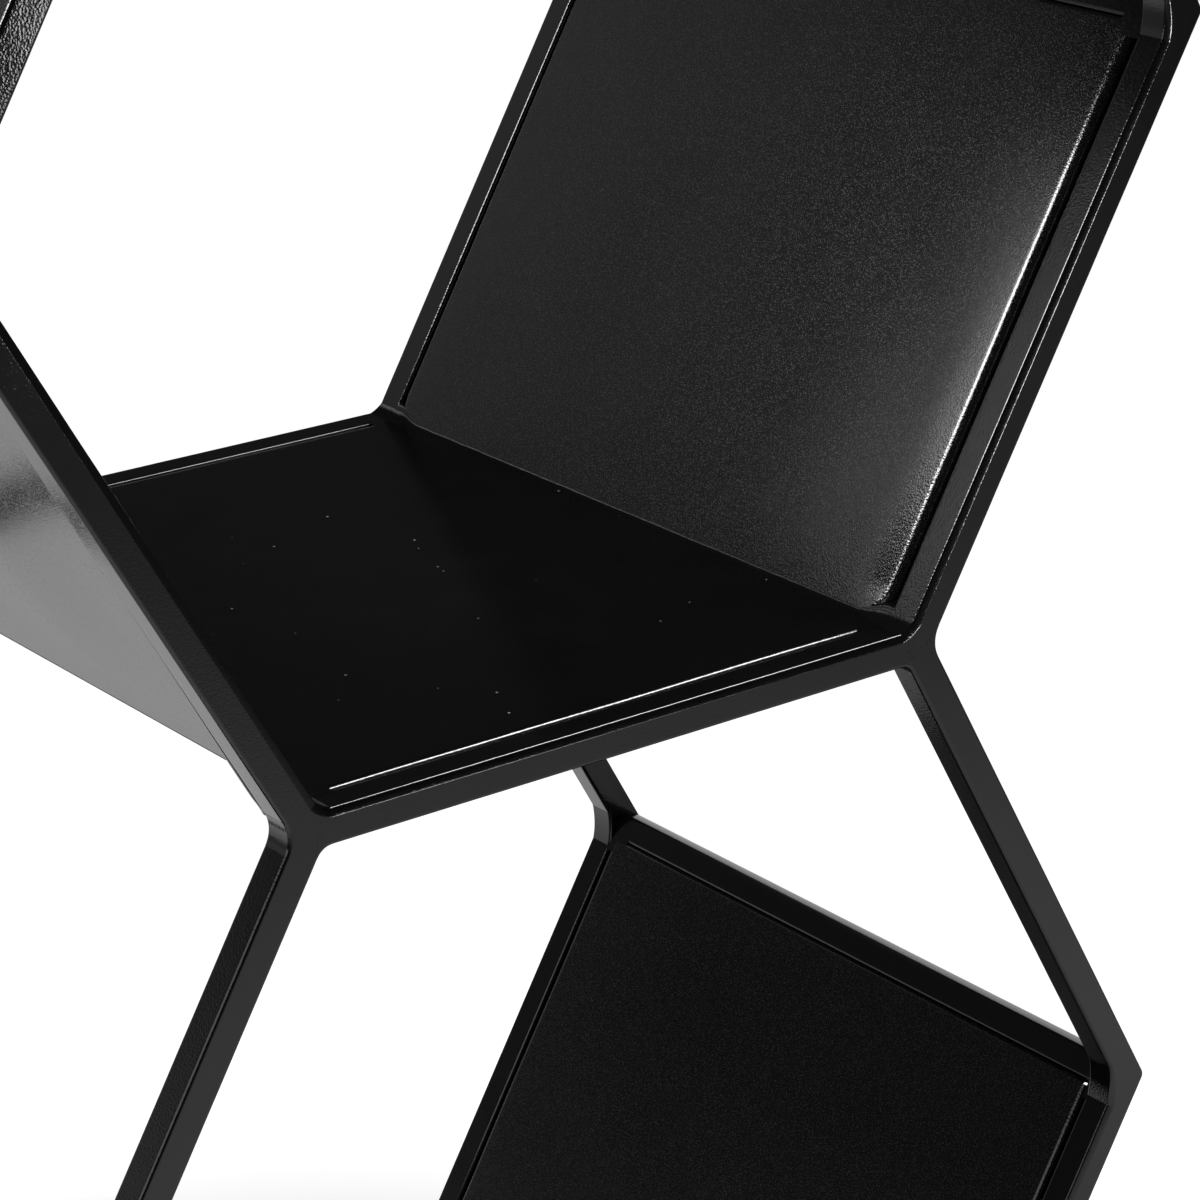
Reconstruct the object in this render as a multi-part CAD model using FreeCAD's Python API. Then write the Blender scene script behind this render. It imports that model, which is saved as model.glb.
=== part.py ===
import FreeCAD, Part
import math
import os

# Driving dimensions in millimetres.
TIERS = 3
TUBE = 16.0
TUBE_WALL = 1.2
TUBE_CORNER = 1.8
BAR_LENGTH = 305.0
SLOPE = 60.0
DEPTH = 410.0
SHEET = 1.5
SHEET_LIP = 11.0
SHEET_BEND = 4.0
CORNER_NOTCH = 3.5
CROSS_DROP = 2.0
INNER_FILLET = 8.0
OUTER_FILLET = 14.0
VERTEX_FILLET = 20.0
SEAM_RADIUS = 3.0
WELD_FACETS = 6
PAD_RADIUS = 7.0
PAD_HEIGHT = 3.0
PAD_INSET = 22.0

# Sizes that follow from the driving dimensions.
HALF_TUBE = TUBE / 2
COS = math.cos(math.radians(SLOPE))
SIN = math.sin(math.radians(SLOPE))
RISE = BAR_LENGTH * SIN
HALF_SHELF = BAR_LENGTH / 2 + HALF_TUBE / SIN
HALF_VERTEX = HALF_SHELF + BAR_LENGTH * COS
HALF_TURN = math.tan(math.radians(SLOPE / 2))
CORNER_X = HALF_SHELF - HALF_TUBE * HALF_TURN
BASE_LEVEL = PAD_HEIGHT + HALF_TUBE
SHEET_WIDTH = DEPTH - 2 * TUBE
SIDE_SHEET_END = BAR_LENGTH - CROSS_DROP - HALF_TUBE - HALF_TUBE * HALF_TURN
SEAM_RUN = SHEET_LIP * HALF_TURN
SEAM_GAP = SEAM_RADIUS * HALF_TURN
FRONT_AXIS = -DEPTH / 2 + HALF_TUBE
BACK_AXIS = DEPTH / 2 - HALF_TUBE
FAR = 2000.0

UP_OUT = FreeCAD.Vector(COS, 0, SIN)
UP_IN = FreeCAD.Vector(-COS, 0, SIN)
DOWN_OUT = FreeCAD.Vector(COS, 0, -SIN)
OUTWARD = FreeCAD.Vector(1, 0, 0)
INWARD = FreeCAD.Vector(-1, 0, 0)
Y_AXIS = FreeCAD.Vector(0, 1, 0)
ORIGIN = FreeCAD.Vector(0, 0, 0)


def node_point(level):
    """Where the centre lines of a shelf bar and the sloped bars cross, on the right-hand side."""
    return FreeCAD.Vector(HALF_SHELF, 0, BASE_LEVEL + 2 * RISE * level)


def vertex_point(tier):
    """Where the two sloped bars of a tier meet at their widest, on the right-hand side."""
    return FreeCAD.Vector(HALF_VERTEX, 0, BASE_LEVEL + RISE * (2 * tier + 1))


def mirrored(shape):
    """The left-hand twin of a right-hand piece."""
    return shape.mirror(ORIGIN, OUTWARD)


def edges_along(shape, direction, test=None):
    """The straight edges that run along a direction and pass the test on their middle point."""
    found = []
    for edge in shape.Edges:
        span = edge.Vertexes[-1].Point - edge.Vertexes[0].Point
        if span.Length < 1e-6 or abs(abs(span.dot(direction)) - span.Length) > 1e-6:
            continue
        if test is None or test(edge.CenterOfMass):
            found.append(edge)
    return found


def rounded_bar(length, size, corner):
    """A square bar along X from the origin, its four long edges rounded."""
    bar = Part.makeBox(length, size, size, FreeCAD.Vector(0, -size / 2, -size / 2))
    return bar.makeFillet(corner, edges_along(bar, OUTWARD))


def square_tube(length):
    """A hollow square tube along X from the origin."""
    outer = rounded_bar(length, TUBE, TUBE_CORNER)
    bore = rounded_bar(length, TUBE - 2 * TUBE_WALL, TUBE_CORNER - TUBE_WALL)
    return outer.cut(bore)


def tube_between(start, end, spare):
    """A tube on the line from start to end, run past both ends so that it can be mitred."""
    line = end - start
    tube = square_tube(line.Length + 2 * spare)
    tube.translate(FreeCAD.Vector(-spare, 0, 0))
    angle = math.degrees(math.atan2(line.z, line.x))
    tube.rotate(ORIGIN, Y_AXIS, -angle)
    tube.translate(start)
    return tube


def half_space(point, direction):
    """Everything on the left of a directed line in the XZ plane, as seen from the front."""
    left = FreeCAD.Vector(-direction.z, 0, direction.x)
    first = point - direction * FAR
    last = point + direction * FAR
    corners = [first, last, last + left * FAR, first + left * FAR, first]
    offset = FreeCAD.Vector(0, -FAR / 2, 0)
    face = Part.Face(Part.makePolygon([corner + offset for corner in corners]))
    return face.extrude(Y_AXIS * FAR)


def prism(points, start, length):
    """A prism with an outline in the XZ plane, from a given depth backwards."""
    offset = FreeCAD.Vector(0, start, 0)
    closed = [point + offset for point in points] + [points[0] + offset]
    return Part.Face(Part.makePolygon(closed)).extrude(Y_AXIS * length)


def moved_to(shape, depth):
    """A copy of a piece shifted to a depth."""
    copy = shape.copy()
    copy.translate(FreeCAD.Vector(0, depth, 0))
    return copy


# Sloped bars

def lower_bar(tier):
    """The right-hand bar from a shelf out to the widest point of its tier."""
    node = node_point(tier)
    vertex = vertex_point(tier)
    bar = tube_between(node, vertex, TUBE)
    if tier == 0:
        bar = bar.common(half_space(node, DOWN_OUT))
    else:
        bar = bar.common(half_space(node, OUTWARD))
    return bar.common(half_space(vertex, INWARD))


def upper_bar(tier):
    """The right-hand bar from the widest point of a tier in to the shelf above."""
    vertex = vertex_point(tier)
    node = node_point(tier + 1)
    bar = tube_between(vertex, node, TUBE)
    if tier == TIERS - 1:
        bar = bar.common(half_space(node, UP_OUT * -1))
    else:
        bar = bar.common(half_space(node, INWARD))
    return bar.common(half_space(vertex, OUTWARD))


# Shelf bars

def shelf_bar(level):
    """A bar along the edge of a shelf, its ends cut to fit the sloped bars."""
    node = node_point(level)
    twin = FreeCAD.Vector(-node.x, node.y, node.z)
    bar = tube_between(twin, node, TUBE)
    if level == 0:
        ends = half_space(node, UP_IN * -1)
    elif level == TIERS:
        ends = half_space(node, UP_OUT * -1)
    else:
        waist = node - OUTWARD * (HALF_TUBE / SIN)
        ends = half_space(waist, UP_OUT * -1).common(half_space(waist, UP_IN * -1))
    return bar.cut(ends).cut(mirrored(ends))


# Cross bars

def cross_bar(tier):
    """The right-hand tube from the front frame to the back frame along the top of the side sheet."""
    tube = square_tube(SHEET_WIDTH)
    tube.rotate(ORIGIN, FreeCAD.Vector(0, 0, 1), 90)
    tube.rotate(ORIGIN, Y_AXIS, -SLOPE)
    tube.translate(vertex_point(tier) - UP_OUT * CROSS_DROP - Y_AXIS * (SHEET_WIDTH / 2))
    return tube


# Sheets with folded lips

def folded_sheet(left, right, left_run, right_run, left_lip, right_lip):
    """A sheet with its upper face on Z = 0, folded down along front, back and any end that has a lip.

    An end without a lip is cut on the slope of a seam, which runs outwards by its run at the lip's foot.
    """
    start = -SHEET_WIDTH / 2
    outline = [
        FreeCAD.Vector(left, 0, 0),
        FreeCAD.Vector(right, 0, 0),
        FreeCAD.Vector(right + right_run, 0, -SHEET_LIP),
        FreeCAD.Vector(left - left_run, 0, -SHEET_LIP),
    ]
    block = prism(outline, start, SHEET_WIDTH)
    block = block.makeFillet(SHEET_BEND, bent_edges(block, 0, left, right, left_lip, right_lip))
    spare = SHEET_LIP
    inner_left = left + SHEET if left_lip else left - left_run - spare
    inner_right = right - SHEET if right_lip else right + right_run + spare
    hollow = Part.makeBox(
        inner_right - inner_left,
        SHEET_WIDTH - 2 * SHEET,
        SHEET_LIP,
        FreeCAD.Vector(inner_left, start + SHEET, -SHEET - SHEET_LIP),
    )
    inner_edges = bent_edges(hollow, -SHEET, inner_left, inner_right, left_lip, right_lip)
    sheet = block.cut(hollow.makeFillet(SHEET_BEND - SHEET, inner_edges))
    for end, has_lip in ((left, left_lip), (right, right_lip)):
        if has_lip:
            sheet = sheet.cut(corner_notches(end))
    return sheet


def bent_edges(shape, height, left, right, left_lip, right_lip):
    """The edges at the given height along which the sheet is folded."""
    at_height = lambda point: abs(point.z - height) < 1e-6
    edges = edges_along(shape, OUTWARD, at_height)
    for end, has_lip in ((left, left_lip), (right, right_lip)):
        if has_lip:
            edges += edges_along(shape, Y_AXIS, lambda p, e=end: at_height(p) and abs(p.x - e) < 1e-6)
    return edges


def corner_notches(end):
    """The relief holes at the two corners of a folded end."""
    side = 2 * CORNER_NOTCH
    holes = []
    for depth in (-SHEET_WIDTH / 2, SHEET_WIDTH / 2):
        corner = FreeCAD.Vector(end - CORNER_NOTCH, depth - CORNER_NOTCH, -SHEET_LIP - SHEET)
        holes.append(Part.makeBox(side, side, SHEET_LIP + 2 * SHEET, corner))
    return Part.makeCompound(holes)


def floor_sheet(level):
    """The flat sheet of a shelf, between the two seams."""
    half = CORNER_X - SEAM_GAP
    sheet = folded_sheet(-half, half, SEAM_RUN, SEAM_RUN, False, False)
    sheet.translate(FreeCAD.Vector(0, 0, node_point(level).z + HALF_TUBE))
    return sheet


def top_sheet():
    """The sheet of the uppermost shelf, folded along all four sides."""
    sheet = folded_sheet(-CORNER_X, CORNER_X, 0, 0, True, True)
    sheet.translate(FreeCAD.Vector(0, 0, node_point(TIERS).z + HALF_TUBE))
    return sheet


def side_sheet(tier):
    """The sloped right-hand sheet from the seam up to the cross bar."""
    sheet = folded_sheet(SEAM_GAP, SIDE_SHEET_END, SEAM_RUN, 0, False, True)
    sheet.rotate(ORIGIN, Y_AXIS, -SLOPE)
    sheet.translate(FreeCAD.Vector(CORNER_X, 0, node_point(tier).z + HALF_TUBE))
    return sheet


# Welds

def hollow_round(corner, first, second, radius):
    """Points on a hollow round face that blends two faces which meet at a corner."""
    half = math.acos(first.dot(second)) / 2
    bisector = (first + second).normalize()
    centre = corner + bisector * (radius / math.sin(half))
    side = first - bisector * first.dot(bisector)
    side.normalize()
    sweep = math.pi / 2 - half
    points = []
    for step in range(WELD_FACETS + 1):
        angle = sweep * (1 - 2 * step / WELD_FACETS)
        points.append(centre - bisector * (radius * math.cos(angle)) + side * (radius * math.sin(angle)))
    return points


def corner_fill(corner, first, second, start, length, radius):
    """A ground weld in the corner between two faces that run along two directions."""
    return prism(hollow_round(corner, first, second, radius) + [corner], start, length)


def seam_bead(corner, start, length):
    """A weld between the ends of a floor sheet and a side sheet, hollow on its upper side."""
    upper = hollow_round(corner, INWARD, UP_OUT, SEAM_RADIUS)
    through = DOWN_OUT * (SHEET / SIN)
    return prism(upper + [upper[-1] + through, upper[0] + through], start, length)


def both_sides(shape):
    """A right-hand piece and its left-hand twin."""
    return [shape, mirrored(shape)]


def node_welds(axis):
    """The ground welds in the corners of one frame, seen from the front."""
    start = axis - HALF_TUBE + TUBE_CORNER
    length = TUBE - 2 * TUBE_CORNER
    welds = []
    for level in range(TIERS + 1):
        centre = node_point(level)
        above = FreeCAD.Vector(CORNER_X, 0, centre.z + HALF_TUBE)
        below = FreeCAD.Vector(CORNER_X, 0, centre.z - HALF_TUBE)
        waist = centre + OUTWARD * (HALF_TUBE / SIN)
        if level < TIERS:
            welds += both_sides(corner_fill(above, INWARD, UP_OUT, start, length, INNER_FILLET))
        if level > 0:
            welds += both_sides(corner_fill(below, INWARD, DOWN_OUT, start, length, INNER_FILLET))
        if 0 < level < TIERS:
            welds += both_sides(corner_fill(waist, UP_OUT, DOWN_OUT, start, length, OUTER_FILLET))
    for tier in range(TIERS):
        inside = vertex_point(tier) - OUTWARD * (HALF_TUBE / SIN)
        welds += both_sides(corner_fill(inside, UP_OUT * -1, UP_IN, start, length, VERTEX_FILLET))
    return Part.makeCompound(welds)


def seam_welds():
    """The beads along the seams between floor sheets and side sheets."""
    length = SHEET_WIDTH - 2 * SHEET_BEND
    beads = []
    for tier in range(TIERS):
        corner = FreeCAD.Vector(CORNER_X, 0, node_point(tier).z + HALF_TUBE)
        beads += both_sides(seam_bead(corner, -length / 2, length))
    return Part.makeCompound(beads)


# Floor pads

def floor_pads():
    """Four round pads under the ends of the lowest bars."""
    pads = []
    for x in (PAD_INSET - HALF_SHELF, HALF_SHELF - PAD_INSET):
        for y in (FRONT_AXIS, BACK_AXIS):
            pads.append(Part.makeCylinder(PAD_RADIUS, PAD_HEIGHT, FreeCAD.Vector(x, y, 0)))
    return Part.makeCompound(pads)


def all_parts():
    """Every piece of the shelf by its name."""
    parts = {}
    frames = (("front", FRONT_AXIS), ("back", BACK_AXIS))
    for tier in range(TIERS):
        name = "tier%d" % (tier + 1)
        low = lower_bar(tier)
        high = upper_bar(tier)
        rail = shelf_bar(tier)
        for frame, axis in frames:
            parts["%s_%s_shelf_bar" % (name, frame)] = moved_to(rail, axis)
            parts["%s_%s_right_lower_bar" % (name, frame)] = moved_to(low, axis)
            parts["%s_%s_left_lower_bar" % (name, frame)] = moved_to(mirrored(low), axis)
            parts["%s_%s_right_upper_bar" % (name, frame)] = moved_to(high, axis)
            parts["%s_%s_left_upper_bar" % (name, frame)] = moved_to(mirrored(high), axis)
        cross = cross_bar(tier)
        parts["%s_right_cross_bar" % name] = cross
        parts["%s_left_cross_bar" % name] = mirrored(cross)
        side = side_sheet(tier)
        parts["%s_right_sheet" % name] = side
        parts["%s_left_sheet" % name] = mirrored(side)
        parts["%s_floor_sheet" % name] = floor_sheet(tier)
    rail = shelf_bar(TIERS)
    for frame, axis in frames:
        parts["top_%s_shelf_bar" % frame] = moved_to(rail, axis)
        parts["%s_frame_welds" % frame] = node_welds(axis)
    parts["top_sheet"] = top_sheet()
    parts["seam_welds"] = seam_welds()
    parts["floor_pads"] = floor_pads()
    return parts


def main():
    os.makedirs("parts", exist_ok=True)
    for name, shape in all_parts().items():
        shape.exportStep("parts/%s.step" % name)


main()
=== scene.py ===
import bmesh
import bpy
import math
from collections import namedtuple
from mathutils import Matrix, Vector, noise


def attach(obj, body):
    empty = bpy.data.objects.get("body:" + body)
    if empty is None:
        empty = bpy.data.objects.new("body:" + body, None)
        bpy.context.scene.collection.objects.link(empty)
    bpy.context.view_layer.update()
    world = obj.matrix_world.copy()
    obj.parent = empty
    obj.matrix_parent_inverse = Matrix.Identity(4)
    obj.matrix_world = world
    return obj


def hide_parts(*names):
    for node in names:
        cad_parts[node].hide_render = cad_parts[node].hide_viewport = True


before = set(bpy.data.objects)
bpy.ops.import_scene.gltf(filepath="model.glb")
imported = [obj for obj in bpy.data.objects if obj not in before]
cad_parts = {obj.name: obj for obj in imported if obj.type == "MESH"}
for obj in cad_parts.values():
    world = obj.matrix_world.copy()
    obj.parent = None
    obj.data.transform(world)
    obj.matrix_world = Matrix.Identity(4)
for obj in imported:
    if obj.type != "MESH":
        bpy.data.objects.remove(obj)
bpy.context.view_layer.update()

METRE = 0.001

# Where a seed starts in the noise: the step along its second axis for each seed, and the place on its third.
SEED_STEP = 7.3
SEED_LEVEL = 3.1

# Sizes of the part in millimetres, as its solids have them.
TIERS = 3
TUBE = 16.0
BAR_LENGTH = 305.0
SLOPE = math.radians(60)
DEPTH = 410.0
SHEET = 1.5
SHEET_LIP = 11.0
SHEET_BEND = 4.0
CROSS_DROP = 2.0
INNER_FILLET = 8.0
OUTER_FILLET = 14.0
VERTEX_FILLET = 20.0
SEAM_RADIUS = 3.0
PAD_RADIUS = 7.0
PAD_HEIGHT = 3.0
PAD_INSET = 22.0

HALF_TUBE = TUBE / 2
COS, SIN = math.cos(SLOPE), math.sin(SLOPE)
HALF_TURN = math.tan(SLOPE / 2)
RISE = BAR_LENGTH * SIN
HALF_SHELF = BAR_LENGTH / 2 + HALF_TUBE / SIN
HALF_VERTEX = HALF_SHELF + BAR_LENGTH * COS
CORNER_X = HALF_SHELF - HALF_TUBE * HALF_TURN
BASE_LEVEL = PAD_HEIGHT + HALF_TUBE
SHEET_HALF = DEPTH / 2 - TUBE
SIDE_END = BAR_LENGTH - CROSS_DROP - HALF_TUBE - HALF_TUBE * HALF_TURN
SEAM_GAP = SEAM_RADIUS * HALF_TURN
FRONT_AXIS = -DEPTH / 2 + HALF_TUBE
FRAMES = (("front", FRONT_AXIS), ("back", -FRONT_AXIS))

# Directions in the plane of the frames, as (x, z).
UP_OUT = Vector((COS, SIN))
UP_IN = Vector((-COS, SIN))
DOWN_OUT = Vector((COS, -SIN))
OUTWARD = Vector((1, 0))
INWARD = Vector((-1, 0))
UPWARD = Vector((0, 1))
OFF_SLOPE = Vector((-SIN, COS))

# Finish of the tubes and frame welds in millimetres.
# An arc is its first and last angle in degrees, its radius and its steps.
DRESSED_ARCS = ((0, 69, 1.3, 6), (69, 76, 24.0, 3), (76, 90, 2.0, 3))
PLAIN_ARCS = ((0, 90, 1.8, 12),)
CROSS_ARCS = ((0, 77, 1.5, 5), (77, 81, 125.0, 4), (81, 90, 4.0, 3))
FACE_PARTS = 4
RING_SPACING = 9.0
END_RINGS = (0.0, 0.5, 1.0, 1.5, 2.0, 2.5, 4.0, 7.0)
TIP_ROUND = 4.0
TIP_START = 1.0
TIP_EASE = 2.5
TIP_MARGIN = 0.05
FRAME_WAVER = 0.10
FRAME_WAVE = 23.0
GROUND_FLAT = 0.6
WELD_STEPS = 10
WELD_BULGE = 0.04
WELD_WAVE = 6.0
WELD_SEED = 2.0

# Finish of the folded sheets in millimetres. The shares are of a sheet's own width.
SHEET_CLEAR = 0.3
SHEET_SPACING = 8.0
SIDE_SPACING = 4.0
SIDE_DEPTH_SPACING = 6.0
BEND_STEPS = 9
LIP_STEPS = 2
CROSS_BEND = 2.5
MITRE_LENGTH = 40.0
FLOOR_CROWN = -0.6
TOP_CROWN = -0.5
SIDE_CROWN = 0.8
CROWN_POWER = 4
SHEET_WAVER = 0.64
SHEET_WAVE = 85.0
WAVER_SHARE = 1 / 7
EDGE_WAVER = 1.0
EDGE_WAVE = 55.0
EDGE_SEED = 5.0
EDGE_BLEND = 12.0
CURL_LENGTH = 13.0
ROLL_DEPTH = 0.6
ROLL_WIDTH = 20.0
ROLL_FIRST = 14.0
ROLL_LAST = 70.0
ROLL_GAIN = 1.5
ROLL_SHARE = 0.75
FLOOR_SEED = 1.0
RIGHT_SEED = 11.0
LEFT_SEED = 21.0
TOP_SEED = 31.0

# Front edge of a side sheet: its gap to the frame, its bend and lip, how far the lip stops short of the seam,
# and the curl there. The tier with the wide edge is counted from 0.
FrontEdge = namedtuple("FrontEdge", "gap bend lip clear curl")
RIGHT_EDGE = FrontEdge(gap=1.5, bend=3.0, lip=SHEET_LIP, clear=3.0, curl=5.0)
WIDE_EDGE = FrontEdge(gap=3.5, bend=6.0, lip=SHEET_LIP, clear=3.0, curl=5.0)
LEFT_EDGE = FrontEdge(gap=2.3, bend=5.0, lip=14.3, clear=0.0, curl=2.5)
WIDE_TIER = 1

# Seam beads, the plugs of weld at their ends and those at the points of the cells, in millimetres.
# A leg is how far a plug reaches over a sheet, at the frame and at the plug's far end.
SEAM_SHORT = 4.0
SEAM_STEPS = 8
SEAM_RINGS = 150
SEAM_BULGE = 0.16
SEAM_WAVE = 5.0
PLUG_PROUD = 0.03
PLUG_THICK = 4.0
PLUG_DROP = 3.0
PLUG_DROP_TURNS = (0.5, 1.0, 1.5)
PLUG_LENGTH = 18.0
PLUG_FLOOR_LEG = (15.0, 3.2)
PLUG_SIDE_LEG = (6.5, 2.4)
PLUG_FLOOR_STEPS = 4
PLUG_HOLLOW_STEPS = 8
PLUG_SIDE_STEPS = 3
PLUG_RINGS = 8
PLUG_STRAIGHT = 2
PLUG_SINK = 0.06
PLUG_LEAN = 0.3
PLUG_WAVE = 4.0
PLUG_SEED = 3.0
POINT_RUN = 8.5
POINT_REACH = 13.0
NOTCH_REACH = 1.5
POINT_THICK = 3.0
POINT_CELLS = 8
POINT_SINK = 0.03
POINT_WAVER = 0.02
POINT_WAVE = 5.0
POINT_SEED = 4.0

# Outline of a floor pad from its foot up: how far inside its radius and how high, in millimetres.
PAD_OUTLINE = ((1.2, 0.0), (0.4, 0.25), (0.0, 0.9), (0.0, 2.2), (0.3, 2.8), (0.8, PAD_HEIGHT))
PAD_SIDES = 40

# Shading of the meshes.
NORMAL_WEIGHT = 60
SHARP_ANGLE = math.radians(38)

# Materials. A noise is its scale in cells per metre and its detail. Bump is in metres, stops are noise levels,
# and tones are linear colours.
BLACK, WHITE = (0, 0, 0), (1, 1, 1)
TONE_STOPS = (0.3, 0.7)
COAT_TONES = ((0.0028, 0.0028, 0.0030), (0.0042, 0.0042, 0.0043))
COAT_TONE_NOISE = (35, 3)
COAT_IOR = 1.5
GLOSS_NOISE = (60, 2)
GLOSS_SPREAD = 0.03
PEEL_NOISE = (1150, 0)
FLECK_NOISE = (1800, 0)
FLECK_STOPS = (0.62, 0.67)
FLECK_MATT = 0.19
DUST_SCALE = 90
DUST_SIZE_STOPS = (0.03, 0.07)
DUST_SHARE_STOPS = (0.60, 0.66)
DUST_COLOUR = (0.60, 0.60, 0.58)
RUBBER_TONES = ((0.02, 0.02, 0.02), (0.04, 0.04, 0.038))
RUBBER_TONE_NOISE = (400, 3)
RUBBER_GLOSS = (0.7, 0.85)
RUBBER_GLOSS_NOISE = (300, 2)
RUBBER_PEEL = 0.00008
RUBBER_PEEL_NOISE = (1500, 2)

# Floor in metres. A step is where it starts and ends, with the values before and after it.
FLOOR_HALF = 60.0
FLOOR_DROP = 0.0002
FLOOR_COLOUR = (0.55, 0.55, 0.55)
FLOOR_ROUGHNESS = 0.9
# The glow that the camera sees on the floor falls from white far off to 0.55 near the part: painted shade
# round it, added to the lamps' real shadow.
PAINTED_SHADE_STEP = (0.25, 0.58, 0.55, 1.0)
# Painted light and shade in a glow of the floor that only mirrors see: a pool in front and patches at the
# left, back and right, weak under the part as painted shade.
POOL_CENTRE = (0.2, -0.6, 0.0)
POOL_NEAR_STEP = (0.55, 1.6, 0.24, 0.0)
POOL_FAR_STEP = (1.4, 3.5, 0.22, 0.04)
POOL_BACK_STEP = (-0.65, -0.30, 1.0, 0.2)
LEFT_CENTRE = (-0.60, -0.15, 0.0)
LEFT_STEP = (0.32, 0.80, 0.42, 0.0)
BACK_CENTRE = (-0.2, 0.9, 0.0)
BACK_STEP = (0.18, 0.55, 0.0, 0.74)
BACK_FADE = (1.0, 2.2, 1.0, 0.3)
RIGHT_STEP = (0.8, 2.0, 0.0, 0.45)
RIGHT_FADE = (0.5, 1.5, 0.0, 1.0)

# Sky. A glow is its azimuth from the back towards the left, its elevation, its inner and outer radius,
# all in degrees, and its level.
GLOWS = ((24, 21, 4, 18, 0.27), (16, 36.5, 2, 6.5, 1.2), (50, 12, 10, 35, 0.045), (25, 40, 2, 6, 1.0))
HORIZON_STEP = (0.12, 0.22, 0.33, 0.0)
HORIZON_FADE = (0.0, 0.35, 0.0, 1.0)
SKY_LEVEL = 0.024
PANEL_TARGET = (0.24, -0.19, 0.69)

# Camera, from a fit to the photo: place in metres, angles in degrees, lens in millimetres.
CAMERA_PLACE = (-0.9276, -1.3583, 1.1565)
CAMERA_AZIMUTH = 38.268
CAMERA_DOWN = 20.622
CAMERA_ROLL = -0.046
CAMERA_LENS = 114.81
CAMERA_SENSOR = 36.0
CAMERA_REACH = 200


def node_point(level):
    """Crossing of a shelf bar with the sloped bars, on the right."""
    return Vector((HALF_SHELF, BASE_LEVEL + 2 * RISE * level))


def vertex_point(tier):
    """Widest point of a tier, on the right."""
    return Vector((HALF_VERTEX, BASE_LEVEL + RISE * (2 * tier + 1)))


def seam_point(tier):
    """Where the upper faces of a floor sheet and its right-hand side sheet meet."""
    return Vector((CORNER_X, node_point(tier).y + HALF_TUBE))


def cross(first, second):
    return first.x * second.y - first.y * second.x


def clamp(value):
    return min(1.0, max(0.0, value))


def smooth(value):
    value = clamp(value)
    return value * value * (3 - 2 * value)


def blend(first, second, share):
    return first + (second - first) * share


def waver(point, wavelength, seed=0.0):
    """A smooth random value from 0 to 1 that depends on the place and the seed alone."""
    return 0.5 + 0.5 * noise.noise(Vector(point) / wavelength + Vector((seed, SEED_STEP * seed, SEED_LEVEL)))


# Mesh building

class Shell:
    """Points in millimetres and the faces between them."""

    def __init__(self):
        self.points = []
        self.faces = []

    def ring(self, points):
        first = len(self.points)
        self.points.extend(Vector(p) for p in points)
        return list(range(first, len(self.points)))

    def bridge(self, one, two, closed=True):
        count = len(one)
        for i in range(count if closed else count - 1):
            j = (i + 1) % count
            self.faces.append((one[i], one[j], two[j], two[i]))

    def loft(self, rings):
        for one, two in zip(rings, rings[1:]):
            self.bridge(one, two)

    def cap(self, rings):
        self.faces += [tuple(rings[0]), tuple(rings[-1])]

    def fan(self, ring, centre):
        (hub,) = self.ring([centre])
        for i, j in zip(ring, ring[1:] + ring[:1]):
            self.faces.append((i, j, hub))

    def mirrored(self):
        twin = Shell()
        twin.points = [Vector((-p.x, p.y, p.z)) for p in self.points]
        twin.faces = [tuple(reversed(f)) for f in self.faces]
        return twin

    def join(self, other):
        shift = len(self.points)
        self.points.extend(other.points)
        self.faces.extend(tuple(i + shift for i in f) for f in other.faces)


def thicken(sheet, thickness):
    """Gives a sheet its thickness on the lower side, with a rim along its edges."""
    normals = [Vector((0, 0, 0)) for _ in sheet.points]
    for face in sheet.faces:
        a, b, c, d = (sheet.points[i] for i in face)
        for i in face:
            normals[i] += (c - a).cross(d - b)
    solid = Shell()
    solid.ring(sheet.points)
    lower = solid.ring([p - n.normalized() * thickness for p, n in zip(sheet.points, normals)])
    solid.faces += sheet.faces
    solid.faces += [tuple(lower[i] for i in reversed(f)) for f in sheet.faces]
    edges = dict.fromkeys((f[k - 1], f[k]) for f in sheet.faces for k in range(len(f)))
    for a, b in edges:
        if (b, a) not in edges:
            solid.faces.append((b, a, lower[a], lower[b]))
    return solid


def make_piece(node, shell, material):
    """Turns a closed shell into a piece that rides on the part and stands for one of its nodes."""
    name = "vis_" + node
    mesh = bpy.data.meshes.new(name)
    mesh.from_pydata([p * METRE for p in shell.points], [], shell.faces)
    outwards = bmesh.new()
    outwards.from_mesh(mesh)
    bmesh.ops.recalc_face_normals(outwards, faces=outwards.faces)
    outwards.to_mesh(mesh)
    outwards.free()
    mesh.polygons.foreach_set("use_smooth", [True] * len(mesh.polygons))
    mesh.materials.append(material)
    mesh.update()
    piece = bpy.data.objects.new(name, mesh)
    bpy.context.scene.collection.objects.link(piece)
    normals = piece.modifiers.new("normals", "WEIGHTED_NORMAL")
    normals.mode = "FACE_AREA"
    normals.weight = NORMAL_WEIGHT
    normals.keep_sharp = True
    mesh.set_sharp_from_angle(angle=SHARP_ANGLE)
    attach(piece, "root")
    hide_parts(node)


# Materials

def new_material(name):
    material = bpy.data.materials.new(name)
    material.use_nodes = True
    tree = material.node_tree
    tree.nodes.clear()
    output = tree.nodes.new("ShaderNodeOutputMaterial")
    shader = tree.nodes.new("ShaderNodeBsdfPrincipled")
    tree.links.new(shader.outputs["BSDF"], output.inputs["Surface"])
    return material, tree, shader


def add_math(tree, operation, *values):
    """A math node whose inputs are plain numbers or other nodes' outputs."""
    node = tree.nodes.new("ShaderNodeMath")
    node.operation = operation
    for socket, value in zip(node.inputs, values):
        if isinstance(value, (int, float)):
            socket.default_value = value
        else:
            tree.links.new(value, socket)
    return node.outputs[0]


def add_texture(tree, kind, scale):
    """A texture that is fixed to the part."""
    coordinates = tree.nodes.new("ShaderNodeTexCoord")
    texture = tree.nodes.new(kind)
    texture.inputs["Scale"].default_value = scale
    tree.links.new(coordinates.outputs["Object"], texture.inputs["Vector"])
    return texture


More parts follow.
